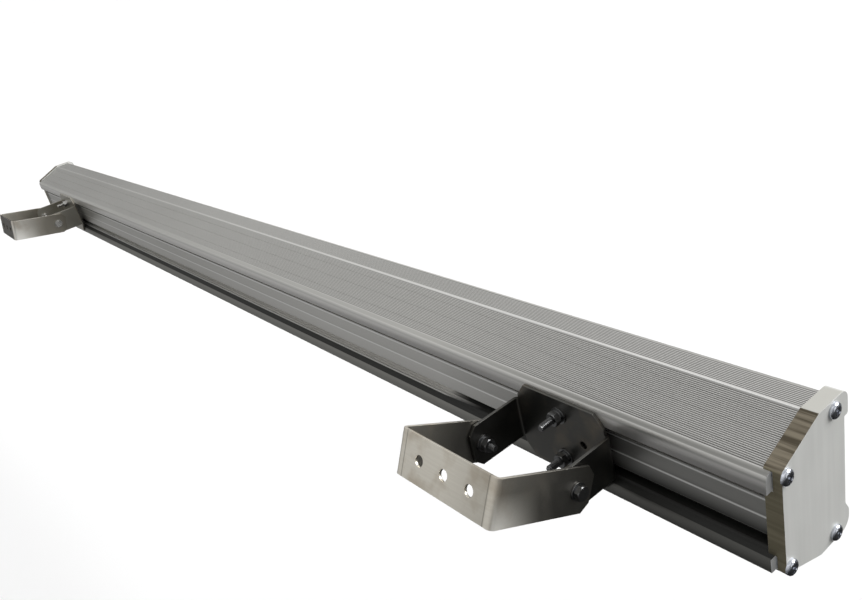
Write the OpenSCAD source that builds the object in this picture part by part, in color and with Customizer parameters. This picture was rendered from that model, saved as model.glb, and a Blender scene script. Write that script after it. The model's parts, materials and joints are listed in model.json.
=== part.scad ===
// Linear LED wall washer: an extruded aluminium housing with a toughened glass front,
// two cast end caps, and two folded steel brackets that slide along the back and tilt.
// X runs along the housing, +Y is the way the light shines, +Z is up.
// The origin is on the tilt axis of both brackets, at the middle of the housing's length.

/* [Housing] */
// Length of the extruded profile
profile_len = 990; // [400:10:1500]
// Height of the tilt axis above the underside of the back flange
flange_low = 22.8; // [21:0.2:25]
// Height of the back flange's outer face
flange_h = 6.6; // [4:0.2:7]
// Height of the top of the back lip above the tilt axis
lip_top = 21.8; // [20.6:0.2:23]
// Height of the back lip's outer face
lip_h = 7.8; // [5:0.2:8]
// Depth of the back wall behind the lip and the flange
recess = 4.2; // [3:0.2:6]
// Depth of the sloping upper face, from the back lip to the ridge
slope_run = 28; // [24:0.5:34]
// Rise of the sloping face over that depth
slope_rise = 11.4; // [10:0.2:14]
// Depth of the flat top face, from the ridge to the front
top_run = 16.1; // [14:0.5:22]
// Depth of the flat underside of the back flange
flange_run = 7; // [5:0.5:9]
// Height of the front of the underside below the tilt axis
sole_low = 30.2; // [28:0.2:33]
// Thickness of the profile's walls
wall_t = 1.8; // [1.4:0.1:2.4]
// Depth of the cooling ribs
rib_depth = 0.35; // [0.2:0.05:0.5]
// Number of ribs on the sloping face
slope_ribs = 30; // [10:1:36]
// Number of ribs on the top face
top_ribs = 11; // [4:1:14]

/* [Light] */
// Height of the glass that shows
window_h = 40.8; // [30:0.2:42]
// Thickness of the glass
glass_t = 4; // [3:0.5:5]
// Number of light sources
led_count = 36; // [12:1:48]
// Radius of one lens at its mouth
lens_r = 10; // [8:0.5:12]
// Height of one lens
lens_h = 9.5; // [7:0.5:10]

/* [End caps] */
// Thickness of the cap's face plate
cap_t = 3.6; // [3:0.2:8]
// Depth of the skirt that reaches over the profile
skirt = 3.4; // [2:0.2:10]
// Distance that the cap stands proud of the profile's top and underside
cap_over = 1; // [0.8:0.1:2]
// Distance that the cap stands proud of the back wall
cap_behind = 1.3; // [1:0.1:2]
// Distance that the two ears of the cap stand proud of the front
cap_ahead = 3.4; // [2:0.1:4]
// Thickness of the gasket under the cap
gasket_t = 0.8; // [0.5:0.1:2]

/* [Brackets] */
// Distance of the right bracket from its end of the profile
right_inset = 99; // [40:1:400]
// Distance of the left bracket from its end of the profile
left_inset = 118; // [40:1:400]
// Tilt of the right yoke from square to the back
right_tilt = 27.4; // [-60:0.1:60]
// Tilt of the left yoke from square to the back
left_tilt = 11.8; // [-60:0.1:60]
// Thickness of the folded sheet
sheet_t = 1.5; // [1.2:0.1:2.5]
// Half width over the ears of the slide plate
ear_half = 28.6; // [24:0.2:36]
// Half height of the slide plate
plate_half = 19.8; // [19:0.2:23]
// Half height of one ear
ear_rise = 10.8; // [8:0.2:12]
// Distance from the slide plate to the tilt axis
reach = 24; // [18:0.5:30]
// Distance from the tilt axis to the outside of the foot
foot_reach = 46.5; // [40:0.5:60]
// Half height of the yoke
yoke_half = 10.4; // [8:0.2:11]
// Spacing of the three holes in the foot
foot_pitch = 15.8; // [12:0.2:17]
// Radius of the holes in the foot
foot_hole_r = 2.5; // [2:0.1:3.5]
// Distance of each slot bolt from the middle of the plate
slot_z = 11.3; // [10.6:0.1:11.4]

/* [Fasteners] */
// Radius of the bolts' shanks
bolt_r = 1.8; // [1.5:0.1:2.2]
// Width of nuts and heads across their flats
nut_af = 6.2; // [5.5:0.1:7.2]
// Height of a nut
nut_h = 3; // [2.4:0.1:4]
// Height of a bolt's head
head_h = 2.6; // [2:0.1:3]
// Radius of the flat washers
washer_r = 4.1; // [3.8:0.1:5]
// Thickness of the flat washers
washer_t = 0.8; // [0.5:0.1:1.2]
// Thickness of the thin washers between ears and yoke
spacer_t = 0.3; // [0.2:0.1:1]

/* [Hidden] */

// Smoothness of round parts, and the count of points in one rounded corner
round_fn = 48;
small_fn = 32;
corner_steps = 6;

// Clearances: touching faces of parts that move, shanks in holes, pieces in the profile
face_gap = 0.05;
shank_gap = 0.05;
fit_gap = 0.1;
// Overrun of a cut past the face it goes through
over = 1;

// Places along Y of the profile's faces
face_y = reach + sheet_t;
wall_y = face_y + recess;
ridge_y = face_y + slope_run;
front_y = ridge_y + top_run;
// Heights of the profile's faces
lip_low = lip_top - lip_h;
flange_top = flange_h - flange_low;
top_z = lip_top + slope_rise;

// Rounded corners of the profile
lip_round = 2.4;
front_round = 3.4;
sole_round = 4.2;
flange_round = 0.6;
// Rounding of the edge along the underside, and its distance behind the ridge
keel_round = 5;
keel_shift = 1;
// Share of one rib's pitch that its flat crest takes, and where its valley lies
crest_share = 0.5;
valley_share = 0.75;
// Plain margins beside the ribs: at the lip, on both sides of the ridge, at the front
lip_margin = 3.2;
ridge_margin = 0.9;
front_margin = 3.6;

// Slots in the back wall that take the bolt heads
slot_open = 5.2;
slot_lip = 1.8;
slot_deep = head_h + 4 * fit_gap;
slot_wide = nut_af + 4 * fit_gap;
// Scored line along the middle of the back wall
score_w = 0.8;
score_deep = 0.4;

// Window in the front: middle height, cover strip, groove for the glass and its seal
window_z = 2.2;
window_top = window_z + window_h / 2;
window_low = window_z - window_h / 2;
strip_t = 1.6;
seal_t = 0.6;
groove = 2.4;
glass_front = front_y - strip_t - seal_t;
glass_back = glass_front - glass_t;
glass_half = window_h / 2 + groove - seal_t;
chamber_half = window_h / 2 + 0.2 * groove;

// Web that carries the light sources
board_t = 1.6;
board_half = 13;
chip_h = 1.9;
chip_w = 3.5;
chip_gap = 0.5;
web_front = glass_back - chip_gap - lens_h - board_t - fit_gap;
web_t = 2;
web_back = web_front - web_t;
channel_back = wall_y + slot_lip + slot_deep + wall_t;
// Spacing of the light sources, and the plain stretch at each end of the board
board_end = 6;
board_len = profile_len - 2 * board_end;
led_pitch = board_len / led_count;

// Screw ports in the profile: radius and places as [y, z]
port_r = 1.65;
port_in = 6.6;
ports = [
    [front_y - port_in, top_z - 2 * port_r],
    [wall_y + 0.6 * port_r, lip_top - 0.4 * port_r],
    [wall_y + 0.7 * port_r, -flange_low + 1.3 * port_r],
    [front_y - 1.1 * port_in, -sole_low + 1.8 * port_r]
];

// Cap screws
screw_head_r = 3.4;
screw_head_h = 1.8;
screw_len = 12;
cross_w = 0.8;
cross_l = 3.6;
cross_deep = 1;
cap_hole_r = 1.9;
cap_round = 1.4;
cap_front_round = 4.4;
cap_sole_round = 5.6;
cap_ear_round = 1.2;
cap_chin_round = 3;
// How far the cap covers the front beside the window, and the drop of its lower ear's slope
cap_window_out = 0.8;
cap_chin_drop = 4.4;
// Share of the lower ear's height that its bottom rounding may take
ear_round_share = 0.7;

// Sheet metal
bend_r = 2.6;
plate_chamfer_x = 5;
plate_chamfer_z = 6.4;
ear_tip = 6.5;
ear_chamfer = 4;
arm_tip = 8.8;
arm_chamfer = 4.2;
spare_hole_x = 12.4;
right_place = profile_len / 2 - right_inset;
left_place = profile_len / 2 - left_inset;

// Fastener lengths
spring_t = 1;
spring_r = 3.3;
slot_stud_out = 12;
pivot_end_out = 3.4;
yoke_in = ear_half + spacer_t + face_gap;
yoke_out = yoke_in + sheet_t;

// Cable gland in the left cap
gland_y = (channel_back + web_back) / 2;
gland_z = 0;
gland_thread_r = 6;
gland_bore_r = 4.6;
gland_af = 15;
gland_flange_h = 4;
gland_neck_r = 5.6;
gland_neck_h = 7;
gland_nut_af = 14.6;
gland_nut_h = 9;
gland_seal_bore_r = 3.2;
gland_seal_h = 6.5;
gland_ring_t = 1;
gland_ring_r = 7.2;

// Driver parts
pad_t = 0.8;
pad_len = 190;
pad_half = 17;
pad_margin = 5;
driver_len = pad_len - 2 * pad_margin;
driver_half = 15;
capacitor_r = 4;
capacitor_len = 16;
capacitor_count = 3;
capacitor_pitch = 24;
transformer = [24, 7.5, 20];
transformer_x = -30;
terminal = [20, 7, 11];
terminal_inset = 12;
terminal_x = terminal_inset - driver_len / 2;
capacitor_x = 12;

// Ratio of a hexagon's corner radius to its width across flats
function hex_r(af) = af / (2 * cos(30));

// Unit vector along the step from a to b, and its left-hand normal
function along(a, b) = (b - a) / norm(b - a);
function left_of(v) = [-v[1], v[0]];

// One corner of an outline, rounded with radius r, turning from towards a to towards c
function rounded(a, p, c, r) = let (
    u = along(p, a),
    v = along(p, c),
    half = acos(u * v) / 2,
    middle = p + along([0, 0], u + v) * r / sin(half),
    start = p + u * r / tan(half) - middle,
    turn = 180 - 2 * half,
    way = u[0] * v[1] - u[1] * v[0] > 0 ? -1 : 1
) [
    for (i = [0 : corner_steps])
    let (q = way * turn * i / corner_steps)
    middle + [start[0] * cos(q) - start[1] * sin(q), start[0] * sin(q) + start[1] * cos(q)]
];

// Ribs cut into the straight stretch from a to b, with the solid on its right
function ribbed(a, b, count) = let (
    step = (b - a) / count,
    inward = -left_of(along(a, b)) * rib_depth
) [
    for (i = [0 : count - 1], share = [0, crest_share, valley_share])
    a + step * (i + share) + (share == valley_share ? inward : [0, 0])
];

// Corners of the profile's outer faces, as [y, z]
lip_corner = [face_y, lip_top];
ridge = [ridge_y, top_z];
front_top = [front_y, top_z];
sole_front = [front_y, -sole_low];
keel = [ridge_y - keel_shift, -sole_low];
flange_front = [face_y + flange_run, -flange_low];
sole_back = [face_y, -flange_low];
slope_way = along(lip_corner, ridge);

// Height of the sloping part of the underside at depth y
function sole_z(y) = -flange_low
    + (y - flange_front[0]) * (keel[1] - flange_front[1]) / (keel[0] - flange_front[0]);

// Outer outline of the profile, walking clockwise from the underside of the lip
outline_top = concat(
    [[face_y, lip_low]],
    rounded([face_y, lip_low], lip_corner, ridge, lip_round),
    ribbed(lip_corner + slope_way * lip_margin, ridge - slope_way * ridge_margin, slope_ribs),
    [ridge - slope_way * ridge_margin, ridge],
    ribbed(ridge + [ridge_margin, 0], front_top - [front_margin, 0], top_ribs),
    rounded(ridge, front_top, sole_front, front_round)
);
outline_plain = concat(
    [[face_y, lip_low]],
    rounded([face_y, lip_low], lip_corner, ridge, lip_round),
    [ridge],
    rounded(ridge, front_top, sole_front, front_round)
);
outline_low = concat(
    rounded(front_top, sole_front, keel, sole_round),
    rounded(sole_front, keel, flange_front, keel_round),
    [flange_front]
);
outline_flange = concat(
    rounded(flange_front, sole_back, [face_y, flange_top], flange_round),
    [[face_y, flange_top], [wall_y, flange_top], [wall_y, lip_low]]
);

// Draws a Y-Z outline as a bar along X
module bar(from, length) {
    translate([from, 0, 0])
        rotate([90, 0, 90])
            linear_extrude(height = length)
                children();
}

// A rectangle between two corners of the Y-Z plane
module span(low, high) {
    translate(low)
        square(high - low);
}

// Puts children at each screw port
module at_ports() {
    for (p = ports) translate(p) children();
}

// A slot for bolt heads at height z, cut into the back wall
module bolt_slot(z) {
    span([wall_y - over, z - slot_open / 2], [wall_y + slot_lip + fit_gap, z + slot_open / 2]);
    span(
        [wall_y + slot_lip, z - slot_wide / 2],
        [wall_y + slot_lip + slot_deep, z + slot_wide / 2]
    );
}

// Hollow behind the back wall that holds the driver
module driver_chamber() {
    slope_z = lip_top + (channel_back - face_y) * slope_rise / slope_run;
    slope_end = lip_top + (web_back - face_y) * slope_rise / slope_run;
    polygon([
        [channel_back, sole_z(channel_back) + 1.3 * wall_t],
        [channel_back, slope_z - 1.3 * wall_t],
        [web_back, slope_end - 1.3 * wall_t],
        [web_back, sole_z(web_back) + 1.3 * wall_t]
    ]);
    span(
        [wall_y + wall_t, -slot_z + slot_wide / 2 + wall_t],
        [channel_back + fit_gap, slot_z - slot_wide / 2 - wall_t]
    );
}

// Hollow in front of the web, with the groove for the glass and the window
module light_chamber() {
    groove_half = glass_half + seal_t;
    span([web_front, window_z - chamber_half], [glass_front, window_z + chamber_half]);
    span(
        [glass_back - seal_t, window_z - groove_half],
        [glass_front + seal_t, window_z + groove_half]
    );
    span([glass_back, window_low], [front_y + over, window_top]);
}

// Hollows above and below the light chamber, clear of the screw ports
module side_hollows() {
    span(
        [web_front, window_z + glass_half + seal_t + wall_t],
        [ports[0][0] - port_r - wall_t, top_z - wall_t - rib_depth]
    );
    span(
        [web_front, sole_z(web_front) + 1.3 * wall_t],
        [ports[3][0] - port_r - wall_t, window_z - glass_half - seal_t - wall_t]
    );
}

module profile_outline(top) {
    polygon(concat(top, outline_low, outline_flange));
}

module housing_profile() {
    color([0.60, 0.59, 0.57])
        bar(-profile_len / 2, profile_len)
            difference() {
                profile_outline(outline_top);
                bolt_slot(slot_z);
                bolt_slot(-slot_z);
                driver_chamber();
                light_chamber();
                side_hollows();
                polygon([
                    [wall_y - over, -score_w - over],
                    [wall_y + score_deep, 0],
                    [wall_y - over, score_w + over]
                ]);
                at_ports() circle(r = port_r, $fn = small_fn);
            }
}

module glass_cover() {
    color([0.80, 0.90, 0.88, 0.5])
        bar(-profile_len / 2, profile_len)
            span([glass_back, window_z - glass_half], [glass_front, window_z + glass_half]);
}

// A U-shaped strip round one long edge of the glass
module glass_seal(way) {
    outer = glass_half + seal_t;
    lip_at = window_h / 2 + fit_gap;
    bar(-profile_len / 2, profile_len)
        translate([0, window_z])
            flipped(way)
                difference() {
                    span([glass_back - seal_t, lip_at], [glass_front + seal_t, outer]);
                    span([glass_back, lip_at - over], [glass_front, glass_half]);
                }
}

// Mirrors a Y-Z outline about the Y axis when way is negative
module flipped(way) {
    mirror([0, way < 0 ? 1 : 0])
        children();
}

module glass_seals() {
    color([0.12, 0.12, 0.12]) {
        glass_seal(1);
        glass_seal(-1);
    }
}

module led_board() {
    color([0.92, 0.92, 0.90])
        bar(-board_len / 2, board_len)
            span([web_front, window_z - board_half], [web_front + board_t, window_z + board_half]);
}

// Puts children at each light source, with local +Z along the light
module at_leds() {
    for (i = [0 : led_count - 1])
        translate([(i + 0.5) * led_pitch - board_len / 2, web_front + board_t, window_z])
            rotate([-90, 0, 0])
                children();
}

module led_chips() {
    color([0.95, 0.85, 0.35])
        at_leds()
            translate([-chip_w / 2, -chip_w / 2, 0])
                cube([chip_w, chip_w, chip_h]);
}

// A solid lens with a pocket over the chip
lens_base_share = 0.5;
lens_rim = 1.4;
pocket_r = 2.9;
pocket_gap = 0.8;
pocket_h = chip_h + pocket_gap;
module lenses() {
    color([0.85, 0.90, 0.92, 0.6])
        at_leds()
            translate([0, 0, fit_gap])
                rotate_extrude($fn = round_fn)
                    polygon([
                        [pocket_r, 0],
                        [lens_r * lens_base_share, 0],
                        [lens_r, lens_h - lens_rim],
                        [lens_r, lens_h],
                        [0, lens_h],
                        [0, pocket_h],
                        [pocket_r, pocket_h]
                    ]);
}

holder_r = 8.4;
holder_h = 4.6;
module lens_holders() {
    lens_side = (lens_h - lens_rim) / (lens_r * (1 - lens_base_share));
    color([0.10, 0.10, 0.10])
        at_leds()
            rotate_extrude($fn = round_fn)
                polygon([
                    [lens_r * lens_base_share + fit_gap, 0],
                    [holder_r, 0],
                    [holder_r, holder_h],
                    [lens_r * lens_base_share + fit_gap + holder_h / lens_side, holder_h]
                ]);
}

// Screws that hold the board to the web, between pairs of light sources
board_screw_head_r = 2.75;
board_screw_head_h = 1.8;
board_screw_count = 8;
module board_screws() {
    color([0.75, 0.76, 0.78])
        for (i = [0 : board_screw_count - 1], side = [-1, 1])
            let (gap = round((i + 0.5) * led_count / board_screw_count))
                translate([
                    gap * led_pitch - board_len / 2,
                    web_front + board_t,
                    window_z + side * (board_half - board_screw_head_r)
                ])
                    rotate([-90, 0, 0])
                        cylinder(r = board_screw_head_r, h = board_screw_head_h, $fn = small_fn);
}

driver_face = web_back - pad_t - board_t;
module driver_pad() {
    color([0.55, 0.62, 0.70])
        bar(-pad_len / 2, pad_len)
            span([web_back - pad_t, -pad_half], [web_back, pad_half]);
}

module driver_board() {
    color([0.10, 0.38, 0.22])
        bar(-driver_len / 2, driver_len)
            span([driver_face, -driver_half], [driver_face + board_t, driver_half]);
}

module driver_capacitors() {
    color([0.16, 0.18, 0.30])
        for (i = [0 : capacitor_count - 1])
            translate([capacitor_x + i * capacitor_pitch, driver_face - capacitor_r - face_gap, 0])
                rotate([0, 90, 0])
                    cylinder(r = capacitor_r, h = capacitor_len, $fn = small_fn);
}

module driver_block(x, size) {
    translate([x - size[0] / 2, driver_face - size[1], -size[2] / 2])
        cube(size);
}

module driver_transformer() {
    color([0.70, 0.62, 0.20]) driver_block(transformer_x, transformer);
}

module driver_terminal() {
    color([0.15, 0.45, 0.25]) driver_block(terminal_x, terminal);
}

// Outline of an end cap, grown past the profile by its overhang on every side
cap_left = wall_y - cap_behind;
cap_front = front_y + cap_ahead;
cap_top = top_z + cap_over;
cap_low = -sole_low - cap_over;
slope_lift = cap_over / slope_way[0];
cap_nose = [cap_left, lip_top + slope_lift + (cap_left - face_y) * slope_rise / slope_run];
cap_ridge = [ridge_y - slope_lift * slope_way[1] / 2, cap_top];
cap_keel = [keel[0] - cap_over / 2, cap_low];
cap_bend = [flange_front[0] - cap_over / 2, -flange_low - cap_over];
cap_window_top = [front_y + cap_window_out, window_top + fit_gap];
cap_window_low = [front_y + cap_window_out, window_low - fit_gap];
cap_back_low = [cap_left, -flange_low - cap_over];
cap_ear_top = [cap_front, cap_window_top[1]];
cap_ear_low = [cap_front, cap_window_low[1] - cap_chin_drop];
cap_front_top = [cap_front, cap_top];
cap_front_low = [cap_front, cap_low];
cap_low_round = min(cap_sole_round, ear_round_share * (cap_ear_low[1] - cap_low));

// The front is set back between two ears, so the light leaves along its whole window
module cap_outline() {
    polygon(concat(
        rounded(cap_bend, cap_back_low, cap_nose, cap_round),
        rounded(cap_back_low, cap_nose, cap_ridge, cap_round),
        rounded(cap_nose, cap_ridge, cap_front_top, cap_round),
        rounded(cap_ridge, cap_front_top, cap_ear_top, cap_front_round),
        rounded(cap_front_top, cap_ear_top, cap_window_top, cap_ear_round),
        [cap_window_top, cap_window_low],
        rounded(cap_window_low, cap_ear_low, cap_front_low, cap_chin_round),
        rounded(cap_ear_low, cap_front_low, cap_keel, cap_low_round),
        rounded(cap_front_low, cap_keel, cap_bend, keel_round),
        [cap_bend]
    ));
}

cap_inner_x = profile_len / 2 + gasket_t;

// A cap for the right-hand end: face plate, skirt with notches for lip and flange, holes
module end_cap_body() {
    difference() {
        union() {
            bar(cap_inner_x, cap_t) cap_outline();
            bar(cap_inner_x - skirt, skirt)
                difference() {
                    cap_outline();
                    profile_outline(outline_plain);
                }
        }
        bar(cap_inner_x - over, cap_t + 2 * over)
            at_ports() circle(r = cap_hole_r, $fn = small_fn);
    }
}

module right_end_cap() {
    color([0.68, 0.68, 0.64]) end_cap_body();
}

module left_end_cap() {
    color([0.68, 0.68, 0.64])
        difference() {
            mirror([1, 0, 0]) end_cap_body();
            translate([-cap_inner_x - cap_t - over, gland_y, gland_z])
                rotate([0, 90, 0])
                    cylinder(r = gland_thread_r + fit_gap, h = cap_t + 2 * over, $fn = round_fn);
        }
}

// Gasket between the profile's end and the cap: a frame with holes for the screws
gasket_in = 0.6;
gasket_ring = 4.2;
module cap_gasket() {
    color([0.10, 0.10, 0.11])
        bar(profile_len / 2, gasket_t)
            difference() {
                polygon(concat(
                    [[wall_y + gasket_in, -flange_low + gasket_in]],
                    [[wall_y + gasket_in, lip_top]],
                    [ridge + [0, -2 * gasket_in]],
                    [front_top - [gasket_in + front_round, 2 * gasket_in]],
                    [[front_y - gasket_in, top_z - front_round]],
                    [[front_y - gasket_in, -sole_low + sole_round]],
                    [[front_y - sole_round, -sole_low + gasket_in]]
                ));
                polygon([
                    [channel_back, -flange_low + gasket_ring],
                    [channel_back, lip_top - gasket_ring],
                    [ridge_y, top_z - 2 * gasket_ring],
                    [glass_back, top_z - 2 * gasket_ring],
                    [glass_back, -flange_low + gasket_ring]
                ]);
                at_ports() circle(r = cap_hole_r, $fn = small_fn);
            }
}

module right_cap_gasket() {
    cap_gasket();
}

module left_cap_gasket() {
    mirror([1, 0, 0]) cap_gasket();
}

// One pan-head screw along +X, its head's seat at x = 0, with a cross recess
module pan_screw() {
    rotate([0, 90, 0])
        difference() {
            union() {
                rotate_extrude($fn = round_fn)
                    polygon(concat(
                        [[0, 0], [screw_head_r, 0]],
                        [for (i = [0 : corner_steps])
                            let (q = 90 * i / corner_steps)
                            [
                                screw_head_r * (0.55 + 0.45 * cos(q)),
                                screw_head_h * (0.35 + 0.65 * sin(q))
                            ]],
                        [[0, screw_head_h]]
                    ));
                translate([0, 0, -screw_len])
                    cylinder(r = port_r - shank_gap, h = screw_len, $fn = small_fn);
            }
            for (turn = [0, 90])
                rotate([0, 0, turn + 45])
                    translate([-cross_l / 2, -cross_w / 2, screw_head_h - cross_deep])
                        cube([cross_l, cross_w, cross_deep + over]);
        }
}

module cap_screws() {
    color([0.80, 0.82, 0.85])
        for (p = ports)
            translate([cap_inner_x + cap_t, p[0], p[1]])
                pan_screw();
}

module right_cap_screws() {
    cap_screws();
}

module left_cap_screws() {
    mirror([1, 0, 0]) cap_screws();
}

// Puts children on the gland's axis with local +Z outwards, from the left cap's face
module at_gland(out) {
    translate([-cap_inner_x - cap_t - out, gland_y, gland_z])
        rotate([0, -90, 0])
            children();
}

module ring(outer, inner, height) {
    difference() {
        cylinder(r = outer, h = height, $fn = round_fn);
        translate([0, 0, -over])
            cylinder(r = inner, h = height + 2 * over, $fn = round_fn);
    }
}

module gland_ring() {
    color([0.08, 0.08, 0.08])
        at_gland(0)
            ring(gland_ring_r, gland_thread_r + fit_gap, gland_ring_t);
}

gland_inside = cap_t + gasket_t;
module gland_body() {
    color([0.13, 0.13, 0.14])
        at_gland(gland_ring_t)
            difference() {
                union() {
                    cylinder(r = hex_r(gland_af), h = gland_flange_h, $fn = 6);
                    cylinder(r = gland_neck_r, h = gland_flange_h + gland_neck_h, $fn = round_fn);
                    translate([0, 0, -gland_ring_t - gland_inside])
                        cylinder(
                            r = gland_thread_r,
                            h = gland_ring_t + gland_inside + fit_gap,
                            $fn = round_fn
                        );
                }
                translate([0, 0, -gland_ring_t - gland_inside - over])
                    cylinder(
                        r = gland_bore_r,
                        h = gland_ring_t + gland_inside + gland_flange_h + gland_neck_h + 2 * over,
                        $fn = round_fn
                    );
            }
}

module gland_seal() {
    color([0.20, 0.20, 0.20])
        at_gland(gland_ring_t + gland_flange_h + gland_neck_h - gland_seal_h)
            ring(gland_bore_r, gland_seal_bore_r, gland_seal_h);
}

gland_nut_gap = 0.6;
module gland_nut() {
    color([0.13, 0.13, 0.14])
        at_gland(gland_ring_t + gland_flange_h + gland_nut_gap)
            difference() {
                union() {
                    cylinder(r = hex_r(gland_nut_af), h = 0.6 * gland_nut_h, $fn = 6);
                    cylinder(
                        r1 = gland_nut_af / 2,
                        r2 = 0.8 * gland_nut_af / 2,
                        h = gland_nut_h,
                        $fn = round_fn
                    );
                }
                translate([0, 0, -over])
                    cylinder(
                        r = gland_neck_r + shank_gap,
                        h = over + gland_neck_h - gland_nut_gap,
                        $fn = round_fn
                    );
                cylinder(r = gland_seal_bore_r + 2 * fit_gap, h = gland_nut_h + over, $fn = round_fn);
            }
}

// A filled slab with two rounded corners at its back, reaching from y = -back to y = end
module slab(half, back, end, r) {
    translate([-half, r - back])
        square([2 * half, back + end - r]);
    translate([r - half, -back])
        square([2 * (half - r), back + end]);
    for (side = [-1, 1])
        translate([side * (half - r), r - back])
            circle(r = r, $fn = round_fn);
}

// A sheet folded to a U: back at y = -back, legs at both sides reaching to y = end
module folded(half, back, end, rise) {
    translate([0, 0, -rise])
        linear_extrude(height = 2 * rise)
            difference() {
                slab(half, back, end, bend_r);
                slab(half - sheet_t, back - sheet_t, end + over, bend_r - sheet_t);
            }
}

// Cuts both corners off the ends of two legs that reach to y = end
module leg_corners(half, end, rise, chamfer) {
    for (side = [-1, 1])
        translate([-half - over, end, side * rise])
            rotate([45, 0, 0])
                translate([0, -chamfer / sqrt(2), -chamfer / sqrt(2)])
                    cube([2 * (half + over), sqrt(2) * chamfer, sqrt(2) * chamfer]);
}

// Cross holes on the tilt axis
module pivot_holes(half, r) {
    translate([-half - over, 0, 0])
        rotate([0, 90, 0])
            cylinder(r = r, h = 2 * (half + over), $fn = round_fn);
}

// Eight-sided plate with two ears folded back, which the slot bolts clamp to the housing
module slide_plate() {
    color([0.36, 0.35, 0.33])
        difference() {
            union() {
                mirror([0, 1, 0])
                    folded(ear_half, face_y, ear_tip, ear_rise);
                translate([0, face_y, 0])
                    rotate([90, 0, 0])
                        linear_extrude(height = sheet_t)
                            plate_outline();
            }
            mirror([0, 1, 0])
                leg_corners(ear_half, ear_tip, ear_rise, ear_chamfer);
            pivot_holes(ear_half, bolt_r + shank_gap);
            for (z = [-slot_z, slot_z])
                plate_hole(0, z);
            plate_hole(spare_hole_x, 0);
        }
}

// The plate ends where the bends of its ears begin
module plate_outline() {
    half = ear_half - bend_r;
    side_z = plate_half - plate_chamfer_z;
    top_x = half - plate_chamfer_x;
    polygon([
        [top_x, plate_half],
        [half, side_z],
        [half, -side_z],
        [top_x, -plate_half],
        [-top_x, -plate_half],
        [-half, -side_z],
        [-half, side_z],
        [-top_x, plate_half]
    ]);
}

module plate_hole(x, z) {
    translate([x, face_y + over, z])
        rotate([90, 0, 0])
            cylinder(r = bolt_r + fit_gap, h = sheet_t + 2 * over, $fn = small_fn);
}

// Yoke: a U with three holes in its foot, tilted about the X axis
module yoke(tilt) {
    color([0.62, 0.60, 0.56])
        rotate([-tilt, 0, 0])
            difference() {
                folded(yoke_out, foot_reach, arm_tip, yoke_half);
                leg_corners(yoke_out, arm_tip, yoke_half, arm_chamfer);
                pivot_holes(yoke_out, bolt_r + shank_gap);
                for (i = [-1 : 1])
                    translate([i * foot_pitch, sheet_t + over - foot_reach, 0])
                        rotate([90, 0, 0])
                            cylinder(r = foot_hole_r, h = sheet_t + 2 * over, $fn = round_fn);
            }
}

// Puts children at both slot bolts with local +Z pointing back, from the plate's back face
module at_slot_bolts() {
    for (z = [-slot_z, slot_z])
        translate([0, reach, z])
            rotate([90, 0, 0])
                children();
}

module slot_bolts() {
    head_from = -(sheet_t + recess + slot_lip + face_gap);
    color([0.70, 0.70, 0.70])
        at_slot_bolts() {
            translate([0, 0, head_from - head_h / 2])
                cylinder(r = bolt_r, h = slot_stud_out - head_from + head_h / 2, $fn = small_fn);
            translate([0, 0, head_from - head_h])
                cylinder(r = hex_r(nut_af), h = head_h, $fn = 6);
        }
}

module washer(outer) {
    ring(outer, bolt_r + fit_gap, washer_t);
}

// Split spring washer
split_w = 0.8;
module spring_washer() {
    difference() {
        ring(spring_r, bolt_r + fit_gap, spring_t);
        translate([0, -split_w / 2, -over])
            cube([spring_r + over, split_w, spring_t + 2 * over]);
    }
}

module nut() {
    difference() {
        cylinder(r = hex_r(nut_af), h = nut_h, $fn = 6);
        translate([0, 0, -over])
            cylinder(r = bolt_r + shank_gap, h = nut_h + 2 * over, $fn = round_fn);
    }
}

module slot_washers() {
    color([0.72, 0.72, 0.72]) at_slot_bolts() washer(washer_r);
}

module slot_springs() {
    color([0.60, 0.60, 0.60]) at_slot_bolts() translate([0, 0, washer_t]) spring_washer();
}

module slot_nuts() {
    color([0.74, 0.74, 0.74]) at_slot_bolts() translate([0, 0, washer_t + spring_t]) nut();
}

// Puts children at both pivots: local origin on the ear's outer face, local +Z outwards
module at_pivots() {
    for (side = [0, 1])
        mirror([side, 0, 0])
            translate([ear_half, 0, 0])
                rotate([0, 90, 0])
                    children();
}

pivot_stack = spacer_t + face_gap + sheet_t + face_gap;
module pivot_bolts() {
    inner_end = -(sheet_t + washer_t + spring_t + nut_h + pivot_end_out);
    color([0.70, 0.70, 0.70])
        at_pivots() {
            translate([0, 0, inner_end])
                cylinder(r = bolt_r, h = pivot_stack + washer_t + head_h / 2 - inner_end, $fn = round_fn);
            translate([0, 0, pivot_stack + washer_t])
                cylinder(r = hex_r(nut_af), h = head_h, $fn = 6);
        }
}

module pivot_washers() {
    color([0.72, 0.72, 0.72])
        at_pivots() {
            translate([0, 0, pivot_stack]) washer(washer_r);
            translate([0, 0, -sheet_t - washer_t]) washer(washer_r);
        }
}

module pivot_spacers() {
    color([0.72, 0.72, 0.72]) at_pivots() ring(washer_r, bolt_r + fit_gap, spacer_t);
}

module pivot_springs() {
    color([0.60, 0.60, 0.60])
        at_pivots() translate([0, 0, -sheet_t - washer_t - spring_t]) spring_washer();
}

module pivot_nuts() {
    color([0.74, 0.74, 0.74])
        at_pivots() translate([0, 0, -sheet_t - washer_t - spring_t - nut_h]) nut();
}

module on_right() {
    translate([right_place, 0, 0]) children();
}

module on_left() {
    translate([-left_place, 0, 0]) children();
}

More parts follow.
